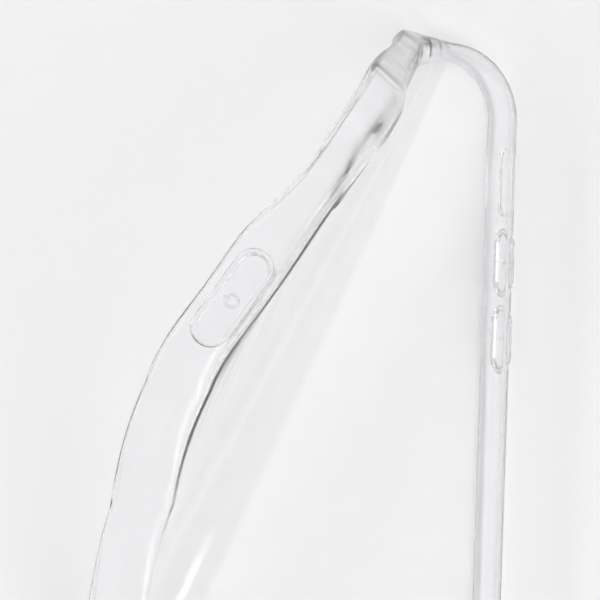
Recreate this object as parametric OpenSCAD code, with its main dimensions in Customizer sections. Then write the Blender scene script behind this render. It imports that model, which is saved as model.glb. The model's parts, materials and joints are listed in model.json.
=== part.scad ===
// Soft clear phone case, one moulding, shown with its upper left corner peeled open.
// It lies on its front lip with its back up. X points right and Y towards the camera end as
// seen from behind, Z points out of the back, and the origin is at the middle of the face that
// the phone's back lies against. Every feature is drawn in the flat moulded shape. Those on the
// peeled corner are then turned about the fold lines, which fan out from one apex.

/* [Phone pocket] */
// Width of the phone that the pocket holds
pocket_w = 67.3; // [60:0.1:90]
// Length of the phone that the pocket holds
pocket_l = 138.4; // [120:0.1:180]
// Thickness of the phone that the pocket holds
pocket_t = 7.3; // [6:0.1:12]
// Corner radius of the pocket, seen from behind
pocket_corner = 11.4; // [6:0.1:16]
// Rounding of the pocket's long edges
pocket_edge = 2.7; // [1:0.1:4]

/* [Shell] */
// Thickness of the side walls
wall_t = 0.9; // [0.6:0.05:2]
// Thickness of the back panel
back_t = 0.8; // [0.6:0.05:2]
// Thickness of the lip that holds the phone's front edge
lip_t = 0.6; // [0.4:0.05:1.5]
// Reach of the lip over the phone's front
lip_reach = 1.1; // [0.5:0.1:2]
// Rounding at the outside of the lip
lip_round = 1.5; // [0.5:0.1:2.5]

/* [Peel] */
// Turn at each fold line in the peeled pose
fold_turn = 14.5; // [0:0.5:18]
// Apex of the fan of fold lines, across the case
apex_x = 32; // [20:1:60]
// Apex of the fan of fold lines, along the case
apex_y = 92; // [85:1:140]
// Width of the thinned fold between two parts of the flap
fold_gap = 0.3; // [0.2:0.05:1]

/* [Camera opening] */
// Distance of the lens from the left and top of the phone
lens_inset = 11; // [8:0.5:16]
// Distance between the two round ends
camera_span = 13.2; // [0:0.2:30]
// Radius of the end round the lens
lens_r = 6.2; // [4:0.1:9]
// Radius of the end round the flash
flash_r = 4.8; // [3:0.1:9]
// Width of the neck between the two ends
camera_neck = 6.4; // [2:0.1:12]
// Width and height of the raised rim
camera_rim = 0.9; // [0.4:0.1:2]
camera_rim_h = 0.4; // [0.1:0.1:1.5]

/* [Button covers] */
// Length of the power cover
power_l = 14.4; // [8:0.2:20]
// Length of each volume cover
volume_l = 9.6; // [6:0.2:16]
// Width of every cover
cover_w = 4; // [3:0.1:6]
// Height of a cover above the wall
cover_rise = 0.45; // [0.1:0.05:1]
// Distance of the power cover from the phone's top
power_from_top = 33; // [20:0.5:60]
// Distance of the two volume covers from the phone's top
volume_up_from_top = 34; // [20:0.5:60]
volume_down_from_top = 46.5; // [20:0.5:80]

/* [Side openings] */
// Length and width of the ring switch opening
switch_l = 11; // [6:0.5:16]
switch_w = 4.8; // [4.2:0.1:6]
// Distance of the ring switch opening from the phone's top
switch_from_top = 21; // [12:0.5:40]
// Length and width of the charging port opening
port_l = 13; // [8:0.5:20]
port_w = 5.4; // [4.2:0.1:7]
// Length and width of the two sound openings
sound_l = 10; // [6:0.5:20]
sound_w = 3; // [1:0.1:5]
// Distance of the sound openings from the middle
sound_x = 15.5; // [12:0.5:24]

/* [Hidden] */
$fn = 64;

height = lip_t + pocket_t + back_t;
half_w = pocket_w / 2;
half_l = pocket_l / 2;
outer_w = half_w + wall_t;
outer_l = half_l + wall_t;
outer_corner = pocket_corner + wall_t;
outer_edge = pocket_edge + wall_t;
seat_height = lip_t + pocket_t;
wall_mid_z = -pocket_t / 2;
eps = 0.01;

// Directions of the fold lines towards the apex, in degrees from X
fold_lines = [65.5, 62.5, 59, 50, 46, 25.1];
flaps = len(fold_lines);
power_flap = 5;
camera_flap = 5;
fold_reach = 260;
hinge_z = back_t / 2;

power_y = half_l - power_from_top;
volume_up_y = half_l - volume_up_from_top;
volume_down_y = half_l - volume_down_from_top;
switch_y = half_l - switch_from_top;
lens_x = -half_w + lens_inset;
lens_y = half_l - lens_inset;
flash_x = lens_x + camera_span;

cover_gap = 0.3;
web_w = 0.5;
web_t = 0.3;
window_w = cover_w + 2 * (cover_gap + web_w);
cover_step = 0.35;
mark_rise = 0.15;
mark_line = 0.35;

// ---- where each part of the flap is ----

// Turns its children about fold line k by one step of the peel
module turn_about_fold(k) {
    translate([apex_x, apex_y, hinge_z])
        rotate([0, 0, fold_lines[k - 1]])
        rotate([fold_turn, 0, 0])
        rotate([0, 0, -fold_lines[k - 1]])
        translate([-apex_x, -apex_y, -hinge_z])
        children();
}

// Carries its children from the flat shape to flap part k in the peeled pose
module peeled(k) {
    if (k > 1)
        peeled(k - 1) turn_about_fold(k) children();
    else
        turn_about_fold(1) children();
}

// Half plane on the peeled side of fold line k, moved away from the line by shift
module peeled_side(k, shift) {
    translate([apex_x, apex_y])
        rotate(fold_lines[k - 1])
        translate([-fold_reach, shift])
        square([2 * fold_reach, fold_reach]);
}

// Flat footprint of flap part k, or of the held part when k is 0
module footprint(k) {
    difference() {
        if (k == 0)
            square(2 * fold_reach, center = true);
        else
            peeled_side(k, fold_gap / 2);
        if (k < flaps)
            peeled_side(k + 1, -fold_gap / 2);
    }
}

// Keeps the piece of its children that belongs to part k
module part_of(k) {
    intersection() {
        children();
        translate([0, 0, -height])
            linear_extrude(2 * height)
            footprint(k);
    }
}

// ---- the shell's cross section ----

// Section of the solid edge: X is measured from the pocket's side, Y from the resting plane
module edge_solid_section() {
    translate([-pocket_edge, 0])
        square([outer_edge - lip_round, height - outer_edge]);
    translate([-pocket_edge, lip_round])
        square([outer_edge, height - outer_edge - lip_round]);
    translate([-pocket_edge, height - outer_edge])
        intersection() {
            circle(outer_edge);
            square(outer_edge);
        }
    translate([wall_t - lip_round, lip_round])
        circle(lip_round);
}

// Section of the room for the phone's edge and of the front opening
module edge_room_section() {
    room_top = height - back_t;
    translate([-pocket_edge - 1, lip_t])
        square([pocket_edge + 1, pocket_t - pocket_edge]);
    translate([-pocket_edge - 1, lip_t])
        square([1 + eps, pocket_t]);
    translate([-pocket_edge, room_top - pocket_edge])
        circle(pocket_edge);
    translate([-pocket_edge - 1, -1])
        square([1 + pocket_edge - lip_reach, lip_t + 2]);
}

module edge_section() {
    translate([0, -seat_height])
        difference() {
            edge_solid_section();
            edge_room_section();
        }
}

// Straight run of wall, starting at the origin and running along Y, facing +X
module straight_edge(length) {
    rotate([90, 0, 0])
        mirror([0, 0, 1])
        linear_extrude(length)
        edge_section();
}

// Quarter turn of wall round a corner of the case, facing +X and +Y
module corner_edge() {
    rotate_extrude(angle = 90)
        translate([pocket_corner, 0])
        edge_section();
}

straight_l = pocket_l - 2 * pocket_corner;
straight_w = pocket_w - 2 * pocket_corner;

module long_wall() {
    translate([half_w, -straight_l / 2, 0])
        straight_edge(straight_l);
}

module short_wall() {
    translate([-straight_w / 2, half_l, 0])
        rotate([0, 0, 90])
        mirror([0, 1, 0])
        straight_edge(straight_w);
}

module corner_wall() {
    translate([straight_w / 2, straight_l / 2, 0])
        corner_edge();
}

module left_run() {
    mirror([1, 0, 0])
        long_wall();
}

module top_run() {
    short_wall();
}

// The flat part of the back, inside the rounded edge
module panel_blank() {
    inner_r = pocket_corner - pocket_edge;
    inner_w = pocket_w - 2 * pocket_edge;
    inner_l = pocket_l - 2 * pocket_edge;
    linear_extrude(back_t)
        rounded_rectangle(inner_w, inner_l, inner_r);
}

module rounded_rectangle(w, l, r) {
    square([w - 2 * r, l], center = true);
    square([w, l - 2 * r], center = true);
    for (x = [-1, 1])
        for (y = [-1, 1])
            translate([x * (w / 2 - r), y * (l / 2 - r)])
                circle(r);
}

// ---- openings ----

// Slot outline with round ends, centred, running along X
module slot(l, w) {
    square([l - w, w], center = true);
    for (x = [-1, 1])
        translate([x * (l - w) / 2, 0])
            circle(w / 2);
}

// Places a slot cut or a cover in the right wall: X is the depth from the pocket's side
module on_right_wall(y) {
    translate([half_w, y, wall_mid_z])
        rotate([0, 90, 0])
        rotate([0, 0, 90])
        children();
}

module on_left_wall(y) {
    mirror([1, 0, 0])
        on_right_wall(y)
        children();
}

module on_bottom_wall(x) {
    translate([x, -half_l, wall_mid_z])
        rotate([90, 0, 0])
        children();
}

module through_wall() {
    translate([0, 0, -1])
        linear_extrude(wall_t + 2)
        children();
}

// Opening for the lens and flash: two round ends joined by a neck
module camera_outline(grow) {
    translate([lens_x, lens_y])
        circle(lens_r + grow);
    translate([flash_x, lens_y])
        circle(flash_r + grow);
    translate([lens_x, lens_y - camera_neck / 2 - grow])
        square([camera_span, camera_neck + 2 * grow]);
}

// ---- held part of the case ----

module back_panel() {
    color("lightsteelblue")
        part_of(0)
        panel_blank();
}

module right_wall() {
    color("lightblue")
        difference() {
            long_wall();
            on_right_wall(switch_y)
                through_wall()
                slot(switch_l, switch_w);
            for (y = [volume_up_y, volume_down_y])
                on_right_wall(y)
                    through_wall()
                    cover_window(volume_l);
        }
}

module bottom_wall() {
    color("lightblue")
        difference() {
            mirror([0, 1, 0])
                short_wall();
            on_bottom_wall(0)
                through_wall()
                slot(port_l, port_w);
            for (side = [-1, 1])
                on_bottom_wall(side * sound_x)
                    through_wall()
                    slot(sound_l, sound_w);
        }
}

module lower_left_wall() {
    color("lightblue")
        part_of(0)
        left_run();
}

module top_right_corner() {
    color("paleturquoise")
        part_of(0) {
            corner_wall();
            top_run();
        }
}

module bottom_right_corner() {
    color("paleturquoise")
        mirror([0, 1, 0])
        corner_wall();
}

module bottom_left_corner() {
    color("paleturquoise")
        mirror([1, 0, 0])
        mirror([0, 1, 0])
        corner_wall();
}

// ---- peeled flap ----

module flap_panel(k) {
    color("lightsteelblue")
        peeled(k)
        part_of(k)
        difference() {
            panel_blank();
            if (k == camera_flap)
                translate([0, 0, -1])
                    linear_extrude(back_t + 2)
                    camera_outline(0);
        }
}

module flap_side_wall(k) {
    color("lightblue")
        peeled(k)
        part_of(k)
        difference() {
            union() {
                left_run();
                if (k == power_flap)
                    mirror([1, 0, 0])
                        corner_wall();
            }
            if (k == power_flap)
                on_left_wall(power_y)
                    through_wall()
                    cover_window(power_l);
        }
}

module flap_top_wall(k) {
    color("lightblue")
        peeled(k)
        part_of(k)
        top_run();
}

// The corner that was lifted first, with the last bit of the back
module flap_corner() {
    color("paleturquoise")
        peeled(flaps)
        part_of(flaps) {
            panel_blank();
            left_run();
            mirror([1, 0, 0])
                corner_wall();
            top_run();
        }
}

module camera_rim_ring() {
    color("white")
        peeled(camera_flap)
        translate([0, 0, back_t])
        linear_extrude(camera_rim_h)
        difference() {
            camera_outline(camera_rim);
            camera_outline(0);
        }
}

// ---- button covers ----

module cover_window(l) {
    slot(l + window_w - cover_w, window_w);
}

// Pad drawn on the wall plane: Z runs out of the wall from the pocket's side
module cover(l) {
    linear_extrude(wall_t + cover_rise - cover_step)
        slot(l, cover_w);
    linear_extrude(wall_t + cover_rise)
        slot(l - 2 * cover_step, cover_w - 2 * cover_step);
}

// Thin web that closes most of the groove round a cover, on the pocket's side
module cover_web(l) {
    linear_extrude(web_t)
        difference() {
            cover_window(l);
            slot(l + 2 * cover_gap, cover_w + 2 * cover_gap);
        }
}

module mark_height() {
    translate([0, 0, wall_t + cover_rise])
        linear_extrude(mark_rise)
        children();
}

module bar_mark(l) {
    square([l, mark_line], center = true);
}

module plus_mark(l) {
    bar_mark(l);
    rotate(90)
        bar_mark(l);
}

// Broken ring with an upright stroke in the break
module power_symbol(r) {
    difference() {
        circle(r);
        circle(r - mark_line);
        translate([0, r])
            square([r, 2 * mark_line + r], center = true);
    }
    translate([0, r * 0.7])
        square([mark_line, r], center = true);
}

module power_cover() {
    color("azure")
        peeled(power_flap)
        on_left_wall(power_y)
        cover(power_l);
}

module power_cover_web() {
    color("lightcyan")
        peeled(power_flap)
        on_left_wall(power_y)
        cover_web(power_l);
}

module power_mark() {
    color("gainsboro")
        peeled(power_flap)
        on_left_wall(power_y)
        mark_height()
        rotate(180)
        power_symbol(1.1);
}

module volume_cover(y) {
    color("azure")
        on_right_wall(y)
        cover(volume_l);
}

module volume_web(y) {
    color("lightcyan")
        on_right_wall(y)
        cover_web(volume_l);
}

module volume_up_mark() {
    color("gainsboro")
        on_right_wall(volume_up_y)
        mark_height()
        plus_mark(2);
}

module volume_down_mark() {
    color("gainsboro")
        on_right_wall(volume_down_y)
        mark_height()
        rotate(90)
        bar_mark(2);
}

back_panel();
right_wall();
bottom_wall();
lower_left_wall();
top_right_corner();
bottom_right_corner();
bottom_left_corner();
flap_panel(1);  // flap_1_panel
flap_panel(2);  // flap_2_panel
flap_panel(3);  // flap_3_panel
flap_panel(4);  // flap_4_panel
flap_panel(5);  // flap_5_panel
flap_side_wall(1);  // flap_1_side_wall
flap_side_wall(2);  // flap_2_side_wall
flap_side_wall(3);  // flap_3_side_wall
flap_side_wall(4);  // flap_4_side_wall
flap_side_wall(5);  // flap_5_side_wall
flap_corner();  // flap_6_corner
flap_top_wall(1);  // flap_1_top_wall
flap_top_wall(2);  // flap_2_top_wall
flap_top_wall(3);  // flap_3_top_wall
flap_top_wall(4);  // flap_4_top_wall
flap_top_wall(5);  // flap_5_top_wall
camera_rim_ring();
power_cover();
power_cover_web();
power_mark();
volume_cover(volume_up_y);  // volume_up_cover
volume_web(volume_up_y);  // volume_up_web
volume_up_mark();
volume_cover(volume_down_y);  // volume_down_cover
volume_web(volume_down_y);  // volume_down_web
volume_down_mark();
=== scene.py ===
"""Looks of the clear soft phone case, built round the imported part.

The shell is modelled once, flat, as one closed skin. The skin is split into pieces where the fold
zones start, and each zone is bent smoothly about its fold line. Lengths are in millimetres until a
piece is made, because the part is small.
"""

import json
import math

import bmesh
import bpy
import numpy as np
from mathutils import Matrix, Vector


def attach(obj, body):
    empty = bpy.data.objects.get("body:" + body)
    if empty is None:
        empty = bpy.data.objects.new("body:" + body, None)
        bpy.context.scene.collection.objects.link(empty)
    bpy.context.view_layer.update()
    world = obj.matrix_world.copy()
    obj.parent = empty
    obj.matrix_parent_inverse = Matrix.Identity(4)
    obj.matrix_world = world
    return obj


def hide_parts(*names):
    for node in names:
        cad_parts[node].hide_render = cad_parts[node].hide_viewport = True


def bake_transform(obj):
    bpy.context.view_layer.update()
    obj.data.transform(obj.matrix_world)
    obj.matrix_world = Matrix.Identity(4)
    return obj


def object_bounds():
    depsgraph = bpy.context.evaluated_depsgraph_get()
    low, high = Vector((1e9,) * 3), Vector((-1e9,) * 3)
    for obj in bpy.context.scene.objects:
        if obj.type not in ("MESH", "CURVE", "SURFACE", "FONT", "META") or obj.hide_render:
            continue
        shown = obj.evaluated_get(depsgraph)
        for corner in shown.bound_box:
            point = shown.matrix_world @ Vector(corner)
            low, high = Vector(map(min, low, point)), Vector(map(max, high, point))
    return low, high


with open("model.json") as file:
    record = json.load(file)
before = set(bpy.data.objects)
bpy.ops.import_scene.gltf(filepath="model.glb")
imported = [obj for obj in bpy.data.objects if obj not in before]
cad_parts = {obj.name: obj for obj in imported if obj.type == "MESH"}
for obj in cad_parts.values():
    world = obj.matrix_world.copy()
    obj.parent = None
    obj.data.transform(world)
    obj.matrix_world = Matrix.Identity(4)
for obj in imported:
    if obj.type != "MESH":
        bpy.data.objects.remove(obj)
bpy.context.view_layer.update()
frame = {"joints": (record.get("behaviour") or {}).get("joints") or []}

MM = 0.001

# ---- sizes of the moulding ----

PHONE_W = 67.3
PHONE_L = 138.4
PHONE_T = 7.3
POCKET_CORNER = 11.4
POCKET_EDGE = 2.7
WALL_T = 0.9
BACK_T = 0.8
LIP_T = 0.6
LIP_REACH = 1.1
LIP_ROUND = 1.5
INSIDE_FILLET = 0.3

HALF_W = PHONE_W / 2
HALF_L = PHONE_L / 2
SEAT_TO_REST = PHONE_T + LIP_T
WALL_MID_Z = -PHONE_T / 2
STRAIGHT_X = HALF_W - POCKET_CORNER
STRAIGHT_Y = HALF_L - POCKET_CORNER

LENS_INSET = 11.0
CAMERA_SPAN = 13.2
LENS = (LENS_INSET - HALF_W, HALF_L - LENS_INSET)
FLASH = (LENS[0] + CAMERA_SPAN, LENS[1])
LENS_R = 6.2
FLASH_R = 4.8
NECK_HALF = 3.2
RIM_W = 0.9
RIM_H = 0.4

COVER_W = 4.0
COVER_RISE = 0.45
COVER_GAP = 0.3
WEB_W = 0.5
WEB_T = 0.3
MARK_LINE = 0.35
POWER_L = 14.4
VOLUME_L = 9.6
POWER_FROM_TOP = 33.0
VOLUME_UP_FROM_TOP = 34.0
VOLUME_DOWN_FROM_TOP = 46.5
POWER_Y = HALF_L - POWER_FROM_TOP
VOLUME_UP_Y = HALF_L - VOLUME_UP_FROM_TOP
VOLUME_DOWN_Y = HALF_L - VOLUME_DOWN_FROM_TOP

SWITCH_FROM_TOP = 21.0
SWITCH_Y = HALF_L - SWITCH_FROM_TOP
SWITCH_L, SWITCH_W = 11.0, 4.8
PORT_L, PORT_W = 13.0, 5.4
SOUND_L, SOUND_W, SOUND_X = 10.0, 3.0, 15.5

# ---- how the flap is peeled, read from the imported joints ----

PEEL = [j for j in frame["joints"] if j["name"].startswith("peel_")]
REST_TURN_DEGREES = 14.5
TURN = math.radians(REST_TURN_DEGREES)
FOLDS = len(PEEL)


def turn_about(point, axis, angle):
    move = Matrix.Translation(point)
    return move @ Matrix.Rotation(angle, 4, axis) @ move.inverted()


def unfolded_hinges():
    """Each hinge's point and direction in the flat case."""
    to_rest = Matrix.Identity(4)
    hinges = []
    for joint in PEEL:
        point = Vector(joint["pos_m"]) / MM
        axis = Vector(joint["axis"]).normalized()
        back = to_rest.inverted()
        hinges.append((back @ point, (back.to_3x3() @ axis).normalized()))
        to_rest = turn_about(point, axis, TURN) @ to_rest
    return hinges


HINGES = unfolded_hinges()


def crossing(first, second):
    """Where two lines in the plane of the back meet. Each line is a point and a direction."""
    point, way = first
    other, other_way = second
    slant = way.x * other_way.y - way.y * other_way.x
    along = ((other.x - point.x) * other_way.y - (other.y - point.y) * other_way.x) / slant
    return point.x + along * way.x, point.y + along * way.y


APEX = crossing(HINGES[0], HINGES[-1])
FOLD_ANGLES = [math.degrees(math.atan2(way.y, way.x)) for point, way in HINGES]
RUN = FOLDS - 1
FIRST_ZONE_LEAD = 3.5
RUN_TAIL = 5.0
LAST_ZONE_HALF = 14.0


def fold_zones():
    """Start and end of the bend at each fold line, as angles of the fan, in degrees.

    All folds but the last form one run, whose zones meet halfway between their fold lines.
    """
    run = FOLD_ANGLES[:RUN]
    last = FOLD_ANGLES[RUN]
    mids = [(a + b) / 2 for a, b in zip(run, run[1:])]
    starts = [run[0] + FIRST_ZONE_LEAD] + mids + [last + LAST_ZONE_HALF]
    ends = mids + [run[-1] - RUN_TAIL, last - LAST_ZONE_HALF]
    return list(zip(starts, ends))


ZONES = fold_zones()


def fan_angle(points):
    return np.degrees(np.arctan2(APEX[1] - points[:, 1], APEX[0] - points[:, 0]))


def smooth_step(values, start, end):
    """0 at start, 1 at end and level at both."""
    t = np.clip((values - start) / (end - start), 0, 1)
    return t * t * (3 - 2 * t)


def bend_share(points, k):
    """0 before fold zone k and 1 after it. The run of folds starts and ends gently."""
    start, end = ZONES[k]
    angle = fan_angle(points)
    if k == RUN:
        return smooth_step(angle, start, end)
    t = np.clip((start - angle) / (start - end), 0, 1)
    if k == 0:
        return t**2
    if k == RUN - 1:
        return 1 - (1 - t) ** 2
    return t


def turned(arms, k, angles):
    """Directions turned about the line of hinge k of the flat case, each by its own angle."""
    axis = np.array(HINGES[k][1])
    c = np.cos(angles)[:, None]
    s = np.sin(angles)[:, None]
    return arms * c + np.cross(axis, arms) * s + np.outer(arms @ axis, axis) * (1 - c)


def peeled(points):
    """Flat points carried to the peeled rest pose, bending smoothly at every fold."""
    shares = [bend_share(points, k) for k in range(FOLDS)]
    for k in reversed(range(FOLDS)):
        pivot = np.array(HINGES[k][0])
        points = pivot + turned(points - pivot, k, shares[k] * TURN)
    return points


def peeled_directions(directions, points):
    """Directions at points of the flat case, turned as the peel turns those points."""
    for k in reversed(range(FOLDS)):
        directions = turned(directions, k, bend_share(points, k) * TURN)
    return directions


LIP_DIP = 0.45
DIP_FADE_LOW = (15, 35)
DIP_FADE_HIGH = (70, 50)
DIP_FADE_Y = (42.0, 60.0)


def dipped(points):
    """Draws the lip towards the back round the peeled corner, where the peel stretches it."""
    angle = fan_angle(points)
    share = smooth_step(angle, *DIP_FADE_LOW) * smooth_step(angle, *DIP_FADE_HIGH)
    share *= smooth_step(points[:, 1], *DIP_FADE_Y)
    drawn = points.copy()
    drawn[:, 2] *= np.where(points[:, 2] < 0, 1 - LIP_DIP * share, 1)
    return drawn


def zone_of(centre):
    """0 on the held part, k from the start of fold zone k to the start of the next one."""
    angle = math.degrees(math.atan2(APEX[1] - centre[1], APEX[0] - centre[0]))
    return sum(angle < start for start, end in ZONES)


# ---- outlines ----


def arc(x, y, radius, start, end, steps):
    """Points of an arc, its end points included, with angles in degrees."""
    angles = [math.radians(start + (end - start) * i / steps) for i in range(steps + 1)]
    return [(x + radius * math.cos(a), y + radius * math.sin(a)) for a in angles]


def slot_outline(length, width, steps=12):
    """Rounded slot about the origin, with its length along the first axis."""
    reach = (length - width) / 2
    return arc(reach, 0, width / 2, -90, 90, steps) + arc(-reach, 0, width / 2, 90, 270, steps)


RING_STEPS = 28


def camera_outline(grow):
    """Two round ends joined by a neck, made wider all round by grow."""
    points = []
    for (x, y), radius, facing in ((FLASH, FLASH_R, 0), (LENS, LENS_R, 180)):
        r = radius + grow
        mouth = math.degrees(math.asin((NECK_HALF + grow) / r))
        points += arc(x, y, r, facing - 180 + mouth, facing + 180 - mouth, RING_STEPS)
    return points


WALL_ROWS = (1.2, 2.4)
INNER_WALL_ROWS = (2.8, 1.4)


def edge_profile():
    """Section of the shell's edge, from the flat outside round the lip to the flat inside.

    The first number is measured outwards from the side of the pocket and the second upwards.
    """
    outer_edge = POCKET_EDGE + WALL_T
    lip_r = LIP_T / 2
    points = arc(-POCKET_EDGE, BACK_T - outer_edge, outer_edge, 90, 0, steps=16)
    points += [(WALL_T, BACK_T - outer_edge - drop) for drop in WALL_ROWS]
    points += arc(WALL_T - LIP_ROUND, LIP_ROUND - SEAT_TO_REST, LIP_ROUND, 0, -90, steps=9)
    points += arc(lip_r - LIP_REACH, lip_r - SEAT_TO_REST, lip_r, -90, -270, steps=8)
    points += arc(-INSIDE_FILLET, INSIDE_FILLET - PHONE_T, INSIDE_FILLET, -90, 0, steps=4)
    points += [(0, -POCKET_EDGE - drop) for drop in INNER_WALL_ROWS]
    points += arc(-POCKET_EDGE, -POCKET_EDGE, POCKET_EDGE, 0, 90, steps=12)
    return points


# ---- meshes ----


def new_object(name, mesh):
    obj = bpy.data.objects.new(name, mesh)
    bpy.context.scene.collection.objects.link(obj)
    return obj


def loft(loops, capped=True):
    """Closed mesh through loops that have the same number of points."""
    bm = bmesh.new()
    rings = [[bm.verts.new(p) for p in loop] for loop in loops]
    count = len(loops[0])
    for lower, upper in zip(rings, rings[1:]):
        for i in range(count):
            j = (i + 1) % count
            bm.faces.new((lower[i], lower[j], upper[j], upper[i]))
    if capped:
        bm.faces.new(rings[0])
        bm.faces.new(rings[-1])
    bmesh.ops.recalc_face_normals(bm, faces=bm.faces)
    return bm


def to_mesh(bm, name):
    mesh = bpy.data.meshes.new(name)
    bm.to_mesh(mesh)
    bm.free()
    return mesh


CORNER_STEPS = 20
MERGE = 1e-4


def flat_shell():
    """The whole shell in its flat moulded shape, without openings."""
    profile = edge_profile()
    loops = [[] for point in profile]
    for quarter, (sx, sy) in enumerate(((1, 1), (-1, 1), (-1, -1), (1, -1))):
        for i in range(CORNER_STEPS + 1):
            a = math.radians(90 * (quarter + i / CORNER_STEPS))
            for loop, (out, z) in zip(loops, profile):
                r = POCKET_CORNER + out
                loop.append((sx * STRAIGHT_X + r * math.cos(a), sy * STRAIGHT_Y + r * math.sin(a), z))
    return loft(loops)


def upright(outline, z):
    return [(x, y, z) for x, y in outline]


def on_side(outline, side, y, depth):
    """Outline laid on a long wall: side is 1 on the right and -1 on the left."""
    return [(side * (HALF_W + depth), y + a, WALL_MID_Z + b) for a, b in outline]


def on_bottom(outline, x, depth):
    return [(x + a, -HALF_L - depth, WALL_MID_Z + b) for a, b in outline]


def apply_boolean(target, tool_bm, operation):
    tool = new_object("tool", to_mesh(tool_bm, "tool"))
    modifier = target.modifiers.new("cut", "BOOLEAN")
    modifier.operation = operation
    modifier.solver = "EXACT"
    modifier.object = tool
    depsgraph = bpy.context.evaluated_depsgraph_get()
    result = bpy.data.meshes.new_from_object(target.evaluated_get(depsgraph))
    target.modifiers.clear()
    target.data = result
    bpy.data.objects.remove(tool)


CUT_IN = -1.5
CUT_OUT = 2.0
RIM_ROUND = 0.2
RIM_BEVEL = 0.06
RIM_SHOULDER = 0.08
RIM_ROOT = 0.3
BORE_START = -1.0
BORE_FLARE = ((0.25, 0.02), (0.5, 0.5))


def window_outline(length):
    """Opening in a wall for a button cover and its membrane."""
    grow = 2 * (COVER_GAP + WEB_W)
    return slot_outline(length + grow, COVER_W + grow)


def cut_camera_opening(shell):
    """Raises the rim with a rounded top and bores the camera opening through it."""
    top = BACK_T + RIM_H
    rim = [
        (RIM_W, BACK_T - RIM_ROOT),
        (RIM_W, top - RIM_ROUND),
        (RIM_W - RIM_BEVEL, top - RIM_SHOULDER),
        (RIM_W - RIM_ROUND, top),
    ]
    apply_boolean(shell, loft([upright(camera_outline(g), z) for g, z in rim]), "UNION")
    bore = [(0, BORE_START), (0, top - RIM_ROUND), (RIM_BEVEL, top - RIM_SHOULDER)]
    bore += [(grow, top + rise) for grow, rise in BORE_FLARE]
    apply_boolean(shell, loft([upright(camera_outline(g), z) for g, z in bore]), "DIFFERENCE")


def cut_openings(shell):
    cut_camera_opening(shell)
    for side, y, outline in (
        (-1, POWER_Y, window_outline(POWER_L)),
        (1, VOLUME_UP_Y, window_outline(VOLUME_L)),
        (1, VOLUME_DOWN_Y, window_outline(VOLUME_L)),
        (1, SWITCH_Y, slot_outline(SWITCH_L, SWITCH_W)),
    ):
        cutter = loft([on_side(outline, side, y, d) for d in (CUT_IN, CUT_OUT)])
        apply_boolean(shell, cutter, "DIFFERENCE")
    for x, outline in (
        (0, slot_outline(PORT_L, PORT_W)),
        (SOUND_X, slot_outline(SOUND_L, SOUND_W)),
        (-SOUND_X, slot_outline(SOUND_L, SOUND_W)),
    ):
        cutter = loft([on_bottom(outline, x, d) for d in (CUT_IN, CUT_OUT)])
        apply_boolean(shell, cutter, "DIFFERENCE")


BEND_STEPS = (10, 10, 10, 10, 12, 22)
ON_PLANE = 1e-5


def cut_rulings(bm):
    """Cuts the flat shell along lines through the apex, which gives each bend edges to follow."""
    angles = set()
    for (start, end), count in zip(ZONES, BEND_STEPS):
        angles.update(round(start + (end - start) * i / count, 6) for i in range(count + 1))
    for angle in sorted(angles):
        a = math.radians(angle)
        geometry = bm.verts[:] + bm.edges[:] + bm.faces[:]
        across = (-math.sin(a), math.cos(a), 0)
        bmesh.ops.bisect_plane(bm, geom=geometry, dist=ON_PLANE, plane_co=(*APEX, 0), plane_no=across)


SHARP = math.radians(30)


def weighted_normals(obj):
    """Corner normals of the object's mesh, led by its large faces. Edges over SHARP stay sharp."""
    mesh = obj.data
    mesh.shade_smooth()
    mesh.set_sharp_from_angle(angle=SHARP)
    modifier = obj.modifiers.new("normals", "WEIGHTED_NORMAL")
    modifier.keep_sharp = True
    depsgraph = bpy.context.evaluated_depsgraph_get()
    evaluated = obj.evaluated_get(depsgraph).to_mesh()
    normals = np.zeros(len(evaluated.loops) * 3, np.float32)
    evaluated.corner_normals.foreach_get("vector", normals)
    obj.modifiers.clear()
    return normals.reshape(-1, 3)


BACK_FACING = (0.9, 0.99)


def peeled_normals(obj, flat, bent):
    """Moves the mesh to its bent place and returns corner normals that run on smoothly.

    On the back they are the flat shape's own normals turned with the folds, which shades the back as
    one even roll. On the walls, which twist, they come from the bent shape.
    """
    moulded = weighted_normals(obj)
    corners = flat[[loop.vertex_index for loop in obj.data.loops]]
    obj.data.vertices.foreach_set("co", bent.astype(np.float32).ravel())
    obj.data.update()
    normals = weighted_normals(obj)
    on_back = smooth_step(np.abs(moulded[:, 2]), *BACK_FACING)[:, None]
    normals += (peeled_directions(moulded, corners) - normals) * on_back
    return normals / np.linalg.norm(normals, axis=1)[:, None]


# ---- splitting the shell into pieces ----

SLACK = 0.02


def part_name(centre, low, high):
    """The piece that a face of the flat shell belongs to, from its middle and its height range."""
    x, y, z = centre
    zone = zone_of(centre)
    if high > BACK_T + SLACK:
        return "camera_rim_skin"
    inside_x = HALF_W - POCKET_EDGE
    inside_y = HALF_L - POCKET_EDGE
    beyond_x = max(abs(x) - STRAIGHT_X, 0)
    beyond_y = max(abs(y) - STRAIGHT_Y, 0)
    inner_r = POCKET_CORNER - POCKET_EDGE
    flat = abs(x) < inside_x and abs(y) < inside_y and math.hypot(beyond_x, beyond_y) < inner_r
    if flat and low > -SLACK:
        return f"fold_{zone}_back" if zone else "held_back"
    if zone == FOLDS:
        return "peeled_corner_wall"
    top_run = y > STRAIGHT_Y and x > -STRAIGHT_X
    if zone:
        return f"fold_{zone}_top_wall" if top_run else f"fold_{zone}_side_wall"
    if beyond_x and beyond_y:
        upper = "top" if y > 0 else "bottom"
        return f"{upper}_{'right' if x > 0 else 'left'}_corner_skin"
    if top_run:
        return "top_right_corner_skin"
    if beyond_y:
        return "bottom_wall_skin"
    return "right_wall_skin"


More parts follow.
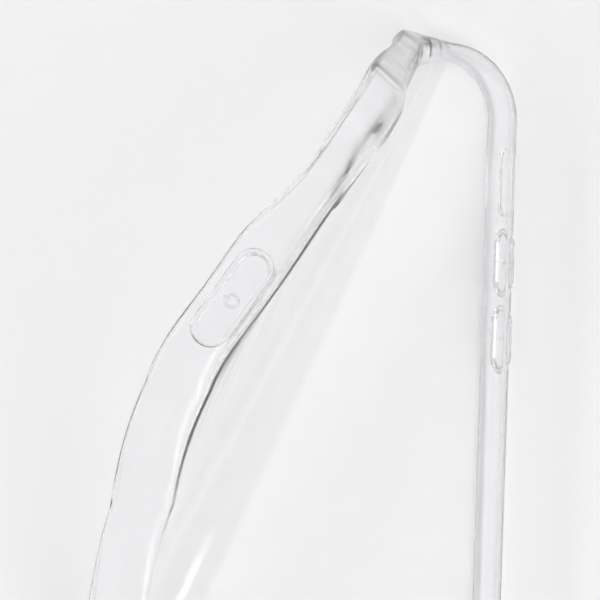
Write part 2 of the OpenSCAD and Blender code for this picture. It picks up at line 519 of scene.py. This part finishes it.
def split_shell(shell):
    """Makes a bent piece for each part of the flat shell, with normals that run on across the cuts."""
    flat = np.array([v.co for v in shell.data.vertices])
    bent = peeled(dipped(flat))
    groups = {}
    for polygon in shell.data.polygons:
        corners = flat[list(polygon.vertices)]
        name = part_name(corners.mean(axis=0), corners[:, 2].min(), corners[:, 2].max())
        groups.setdefault(name, []).append(polygon.index)
    normals = peeled_normals(shell, flat, bent)
    return {
        name: skin_piece(name, shell.data, faces, flat, bent, normals)
        for name, faces in groups.items()
    }


def skin_piece(name, source, faces, flat, bent, normals):
    """One open piece of the skin. Returns it with the flat place of its points."""
    number = {}
    polygons, corner_normals = [], []
    for index in faces:
        polygon = source.polygons[index]
        polygons.append([number.setdefault(v, len(number)) for v in polygon.vertices])
        corner_normals += [normals[i] for i in polygon.loop_indices]
    kept = list(number)
    mesh = bpy.data.meshes.new(name)
    mesh.from_pydata((bent[kept] * MM).tolist(), [], polygons)
    mesh.shade_smooth()
    mesh.normals_split_custom_set([tuple(n) for n in corner_normals])
    return new_object(name, mesh), flat[kept]


# ---- button covers ----


def small_piece(name, bm):
    """Object from a flat bmesh, carried to rest with the wall that it sits on."""
    flat = np.array([v.co for v in bm.verts])
    for vert, place in zip(bm.verts, peeled(flat) * MM):
        vert.co = place
    obj = new_object(name, to_mesh(bm, name))
    obj.data.shade_smooth()
    obj.data.set_sharp_from_angle(angle=SHARP)
    return obj


PAD_FOOT_INSET = 0.15
PAD_FOOT_H = 0.12
PAD_ROUND = 0.35
PAD_ROUND_RADIANS = (0.4, 0.8, 1.2, 1.57)
PAD_DISH = ((0.7, 0.02), (1.1, 0.05), (1.6, 0.06))


def cover_pad(length, side, y):
    """Raised pad with a rounded edge and a shallow dished face. A step is an inset and a depth."""
    top = WALL_T + COVER_RISE
    steps = [(PAD_FOOT_INSET, 0.0), (0.0, PAD_FOOT_H), (0.0, top - PAD_ROUND)]
    for a in PAD_ROUND_RADIANS:
        steps.append((PAD_ROUND - PAD_ROUND * math.cos(a), top - PAD_ROUND + PAD_ROUND * math.sin(a)))
    steps += [(inset, top - drop) for inset, drop in PAD_DISH]
    loops = [on_side(slot_outline(length - 2 * g, COVER_W - 2 * g), side, y, d) for g, d in steps]
    return loft(loops)


WEB_PAD_GAP = 0.03
WEB_WALL_GAP = 0.01
WEB_EDGE = 0.15


def cover_web(length, side, y):
    """Membrane between the pad and the wall, thinner in its middle than at its two edges."""
    inner = WEB_PAD_GAP
    outer = COVER_GAP + WEB_W - WEB_WALL_GAP
    section = [
        (inner, 0),
        (outer, 0),
        (outer, WEB_T + WEB_EDGE),
        (outer - WEB_EDGE, WEB_T),
        (inner + WEB_EDGE, WEB_T),
        (inner, WEB_T + WEB_EDGE),
        (inner, 0),
    ]
    loops = [on_side(slot_outline(length + 2 * g, COVER_W + 2 * g), side, y, d) for g, d in section]
    bm = loft(loops, capped=False)
    bmesh.ops.remove_doubles(bm, verts=bm.verts, dist=MERGE)
    return bm


def bar(length, width):
    """Stroke of a mark, with round ends."""
    return slot_outline(length, width, steps=4)


def quarter_turned(outline):
    return [(-b, a) for a, b in outline]


def broken_ring(radius, line, half_gap):
    """Ring outline with a gap at the top, from half_gap degrees before it to as many after it."""
    outer = arc(0, 0, radius, 90 + half_gap, 450 - half_gap, RING_STEPS)
    inner = arc(0, 0, radius - line, 450 - half_gap, 90 + half_gap, RING_STEPS)
    return outer + inner


MARK_ROOT = 0.08
MARK_TOP = 0.13


def raised_mark(outlines, side, y):
    """Low raised strokes, rooted in a cover's dished face."""
    base = WALL_T + COVER_RISE - MARK_ROOT
    top = WALL_T + COVER_RISE + MARK_TOP
    bm = bmesh.new()
    for outline in outlines:
        part = loft([on_side(outline, side, y, d) for d in (base, top)])
        mesh = to_mesh(part, "stroke")
        bm.from_mesh(mesh)
        bpy.data.meshes.remove(mesh)
    return bm


MARK_RADIUS = 1.1
MARK_HALF_GAP = 35
MARK_LENGTH = 2
STROKE_RISE = 0.75


def power_mark_outlines():
    """Broken ring with a stroke in its break, which faces the lip."""
    ring = broken_ring(MARK_RADIUS, MARK_LINE, MARK_HALF_GAP)
    stroke = [(a, b + STROKE_RISE) for a, b in quarter_turned(bar(MARK_RADIUS, MARK_LINE))]
    return [[(-a, -b) for a, b in outline] for outline in (ring, stroke)]


# ---- materials ----


def node(tree, kind, **values):
    """New shader node. A value goes to the input of that name, or else to the node itself."""
    n = tree.nodes.new(kind)
    for key, value in values.items():
        if key in n.inputs:
            n.inputs[key].default_value = value
        else:
            setattr(n, key, value)
    return n


def noise(tree, vector, **values):
    texture = node(tree, "ShaderNodeTexNoise", **values)
    tree.links.new(vector, texture.inputs["Vector"])
    return texture.outputs["Fac"]


FLOW_TILT = math.radians(-38)
FLOW_STRETCH = (1.0, 0.22, 1.0)
SMEAR_TINT = 0.985
SMEAR_TINT_RANGE = (0.35, 0.65)
SMEAR_ROUGH_RANGE = (0.35, 0.7)
SMEAR_ROUGH_GAIN = 1.8
SMEAR_ROUGH_ADDED = 0.01


def along_flow(tree, vector):
    """Coordinates drawn out along the way the plastic flowed into the mould."""
    stretch = node(tree, "ShaderNodeMapping")
    stretch.inputs["Rotation"].default_value = (0, 0, FLOW_TILT)
    stretch.inputs["Scale"].default_value = FLOW_STRETCH
    tree.links.new(vector, stretch.inputs["Vector"])
    return stretch.outputs["Vector"]


def tint_shader(tree, shader, smears, tint):
    """Tint that is a trace darker where hands have smeared the plastic."""
    colour = node(tree, "ShaderNodeValToRGB")
    smeared, clean = colour.color_ramp.elements
    smeared.position, clean.position = SMEAR_TINT_RANGE
    smeared.color = (*[c * SMEAR_TINT for c in tint], 1)
    clean.color = (*tint, 1)
    tree.links.new(smears, colour.inputs["Fac"])
    tree.links.new(colour.outputs["Color"], shader.inputs["Base Color"])


def roughen_shader(tree, shader, smears, roughness):
    """Roughness that rises with the smears."""
    rough = node(tree, "ShaderNodeMapRange")
    low, high = SMEAR_ROUGH_RANGE
    rough.inputs["From Min"].default_value = low
    rough.inputs["From Max"].default_value = high
    rough.inputs["To Min"].default_value = roughness
    rough.inputs["To Max"].default_value = roughness * SMEAR_ROUGH_GAIN + SMEAR_ROUGH_ADDED
    tree.links.new(smears, rough.inputs["Value"])
    tree.links.new(rough.outputs["Result"], shader.inputs["Roughness"])


def bump_shader(tree, shader, streaks, grain, flow):
    """Wide flow waves of the given strength under a fine moulded grain."""
    wide = node(tree, "ShaderNodeBump", Strength=flow, Distance=0.004)
    fine = node(tree, "ShaderNodeBump", Strength=0.05, Distance=0.0001)
    tree.links.new(streaks, wide.inputs["Height"])
    tree.links.new(grain, fine.inputs["Height"])
    tree.links.new(wide.outputs["Normal"], fine.inputs["Normal"])
    tree.links.new(fine.outputs["Normal"], shader.inputs["Normal"])


def clear_plastic(name, tint, roughness, flow):
    """Clear soft plastic: faint flow streaks, handling smears and a fine moulded grain."""
    material = bpy.data.materials.new(name)
    material.use_nodes = True
    tree = material.node_tree
    shader = tree.nodes["Principled BSDF"]
    shader.inputs["Transmission Weight"].default_value = 1.0
    shader.inputs["IOR"].default_value = 1.38
    place = node(tree, "ShaderNodeTexCoord").outputs["Object"]
    drawn_out = along_flow(tree, place)
    streaks = noise(tree, drawn_out, Scale=60.0, Detail=3.0, Roughness=0.5, Distortion=0.6)
    smears = noise(tree, place, Scale=190.0, Detail=5.0, Roughness=0.6)
    grain = noise(tree, place, Scale=3800.0, Detail=2.0)
    tint_shader(tree, shader, smears, tint)
    roughen_shader(tree, shader, smears, roughness)
    bump_shader(tree, shader, streaks, grain, flow)
    return material


MATERIALS = {
    "clear_back": clear_plastic("clear_back", (0.988, 0.988, 0.99), roughness=0.05, flow=0.03),
    "clear_wall": clear_plastic("clear_wall", (0.978, 0.978, 0.984), roughness=0.13, flow=0.03),
    "rim": clear_plastic("clear_rim", (0.978, 0.978, 0.984), roughness=0.04, flow=0.02),
    "cover": clear_plastic("clear_cover", (0.965, 0.965, 0.972), roughness=0.12, flow=0.02),
    "web": clear_plastic("clear_web", (0.95, 0.95, 0.96), roughness=0.08, flow=0.02),
    "mark": clear_plastic("clear_mark", (0.94, 0.94, 0.95), roughness=0.18, flow=0.02),
}


def finish_piece(obj, slot, nodes, body):
    """Gives a piece its material, the nodes it stands for and, unless it bends, its body."""
    obj.data.materials.clear()
    obj.data.materials.append(MATERIALS[slot])
    if nodes:
        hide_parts(*nodes)
    if body:
        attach(obj, body)


def bend_piece(obj):
    """Bakes the piece's placement into its mesh."""
    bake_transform(obj)


# ---- putting it together ----


def build_shell():
    shell = new_object("flat_shell", to_mesh(flat_shell(), "flat_shell"))
    cut_openings(shell)
    bm = bmesh.new()
    bm.from_mesh(shell.data)
    bmesh.ops.remove_doubles(bm, verts=bm.verts, dist=MERGE)
    cut_rulings(bm)
    bm.to_mesh(shell.data)
    bm.free()
    pieces = split_shell(shell)
    bpy.data.objects.remove(shell)
    return pieces


HELD_NODES = {
    "held_back": "back_panel",
    "right_wall_skin": "right_wall",
    "bottom_wall_skin": "bottom_wall",
    "top_right_corner_skin": "top_right_corner",
    "bottom_right_corner_skin": "bottom_right_corner",
    "bottom_left_corner_skin": "bottom_left_corner",
}


FLAP_NODES = {"back": "panel", "side_wall": "side_wall", "top_wall": "top_wall"}


def flap_piece(name):
    """The fold that bends a piece of the flap and the nodes it stands for, from its name."""
    if name == "camera_rim_skin":
        return FOLDS, ["camera_rim_ring"]
    if name == "peeled_corner_wall":
        return FOLDS, ["flap_6_corner"]
    fold, kind = name.split("_", 2)[1:]
    k = int(fold)
    if k == FOLDS:
        return k, []
    nodes = [f"flap_{k}_{FLAP_NODES[kind]}"]
    if k == 1 and kind == "side_wall":
        nodes.append("lower_left_wall")
    return k, nodes


def slot_of(name):
    if name == "camera_rim_skin":
        return "rim"
    return "clear_back" if name.endswith("_back") else "clear_wall"


def dress_shell(pieces):
    for name, (obj, flat) in pieces.items():
        if name in HELD_NODES:
            finish_piece(obj, slot_of(name), [HELD_NODES[name]], "held")
            continue
        k, nodes = flap_piece(name)
        finish_piece(obj, slot_of(name), nodes, None)
        bend_piece(obj)


def button(name, length, side, y, body, parent_body, marks):
    """Cover and mark that move with their own body, and the membrane that stays with the wall."""
    pad = small_piece(f"{name}_pad", cover_pad(length, side, y))
    web_name = "power_cover_web" if name == "power" else f"{name}_web"
    web = small_piece(f"{name}_membrane", cover_web(length, side, y))
    mark = small_piece(f"{name}_raised_mark", raised_mark(marks, side, y))
    finish_piece(pad, "cover", [f"{name}_cover"], body)
    finish_piece(mark, "mark", [f"{name}_mark"], body)
    finish_piece(web, "web", [web_name], parent_body)


def build_buttons():
    button("power", POWER_L, -1, POWER_Y, "power", "flap_5", power_mark_outlines())
    minus = quarter_turned(bar(MARK_LENGTH, MARK_LINE))
    plus = [bar(MARK_LENGTH, MARK_LINE), minus]
    button("volume_up", VOLUME_L, 1, VOLUME_UP_Y, "volume_up", "held", plus)
    button("volume_down", VOLUME_L, 1, VOLUME_DOWN_Y, "volume_down", "held", [minus])


dress_shell(build_shell())
build_buttons()

# ---- floor, light and camera ----


FLOOR_SIZE = 4.0
FLOOR_GAP = 0.00005


def build_floor():
    """Plain pale floor just under the lowest point of the case."""
    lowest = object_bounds()[0][2]
    bpy.ops.mesh.primitive_plane_add(size=FLOOR_SIZE, location=(0, 0, lowest - FLOOR_GAP))
    floor = bpy.context.active_object
    floor.name = "floor"
    material = bpy.data.materials.new("pale_floor")
    material.use_nodes = True
    tree = material.node_tree
    shader = tree.nodes["Principled BSDF"]
    shader.inputs["Roughness"].default_value = 0.9
    shader.inputs["Specular IOR Level"].default_value = 0.1
    speckle = node(tree, "ShaderNodeTexNoise", Scale=900.0, Detail=2.0)
    tone = node(tree, "ShaderNodeValToRGB")
    tone.color_ramp.elements[0].color = (0.876, 0.876, 0.878, 1)
    tone.color_ramp.elements[1].color = (0.884, 0.884, 0.886, 1)
    tree.links.new(speckle.outputs["Fac"], tone.inputs["Fac"])
    tree.links.new(tone.outputs["Color"], shader.inputs["Base Color"])
    floor.data.materials.append(material)


def build_world():
    """Soft surroundings: bright above and greyer towards the horizon."""
    world = bpy.data.worlds.new("studio")
    world.use_nodes = True
    bpy.context.scene.world = world
    tree = world.node_tree
    place = node(tree, "ShaderNodeTexCoord")
    split = node(tree, "ShaderNodeSeparateXYZ")
    tone = node(tree, "ShaderNodeValToRGB")
    horizon, above = tone.color_ramp.elements
    horizon.color = (0.8, 0.8, 0.805, 1)
    above.position = 0.7
    above.color = (0.9, 0.9, 0.91, 1)
    background = tree.nodes["Background"]
    tree.links.new(place.outputs["Generated"], split.inputs["Vector"])
    tree.links.new(split.outputs["Z"], tone.inputs["Fac"])
    tree.links.new(tone.outputs["Color"], background.inputs["Color"])
    background.inputs["Strength"].default_value = 0.65


LIGHT_TARGET = Vector((0, 0.03, 0))


def area_light(name, direction, distance, size, radiance):
    """Soft rectangular light; size is its width along the horizon and its height."""
    light = bpy.data.lights.new(name, "AREA")
    light.shape = "RECTANGLE"
    light.size, light.size_y = size
    light.energy = radiance * math.pi * size[0] * size[1]
    obj = bpy.data.objects.new(name, light)
    away = Vector(direction).normalized()
    across = Vector((0, 0, 1)).cross(away).normalized()
    upward = away.cross(across)
    axes = Matrix((across, upward, away)).transposed().to_4x4()
    obj.matrix_world = Matrix.Translation(LIGHT_TARGET + away * distance) @ axes
    bpy.context.scene.collection.objects.link(obj)


def build_lights():
    area_light("overhead_softbox", (0.42, -0.08, 0.9), distance=1.1, size=(0.9, 0.9), radiance=1.25)
    area_light("edge_strip", (0.32, -0.85, 0.42), distance=0.9, size=(1.3, 0.07), radiance=8.0)
    area_light("left_strip", (-0.93, 0.1, 0.4), distance=0.9, size=(1.2, 0.07), radiance=9.0)
    area_light("top_strip", (-0.1, 0.9, 0.45), distance=0.9, size=(1.0, 0.07), radiance=6.0)


CAMERA_YAW = math.radians(24.94)
CAMERA_PITCH = math.radians(4.30)
CAMERA_ROLL = math.radians(1.38)
CAMERA_DISTANCE = 258.56
CAMERA_TARGET = Vector((-4.0, 29.78, 0))
CAMERA_LENS = 102.25


def build_camera():
    """Looks down on the back of the case, leaning to its left side and a little to its top end."""
    level = math.cos(CAMERA_PITCH)
    back = Vector((-math.sin(CAMERA_YAW) * level, math.sin(CAMERA_PITCH), math.cos(CAMERA_YAW) * level))
    right = Vector((0, 1, 0)).cross(back).normalized()
    up = back.cross(right)
    rolled_right = right * math.cos(CAMERA_ROLL) + up * math.sin(CAMERA_ROLL)
    rolled_up = up * math.cos(CAMERA_ROLL) - right * math.sin(CAMERA_ROLL)
    data = bpy.data.cameras.new("camera")
    data.lens = CAMERA_LENS
    data.sensor_width = 36
    data.clip_start = 0.01
    camera = bpy.data.objects.new("camera", data)
    axes = Matrix((rolled_right, rolled_up, back)).transposed().to_4x4()
    camera.matrix_world = Matrix.Translation((CAMERA_TARGET + back * CAMERA_DISTANCE) * MM) @ axes
    bpy.context.scene.collection.objects.link(camera)
    bpy.context.scene.camera = camera


build_floor()
build_world()
build_lights()
build_camera()

LIGHT_BOUNCES = 24

scene = bpy.context.scene
scene.view_settings.view_transform = "Standard"
scene.cycles.sample_clamp_indirect = 0
scene.cycles.blur_glossy = 0.0
scene.cycles.max_bounces = LIGHT_BOUNCES
scene.cycles.transmission_bounces = LIGHT_BOUNCES
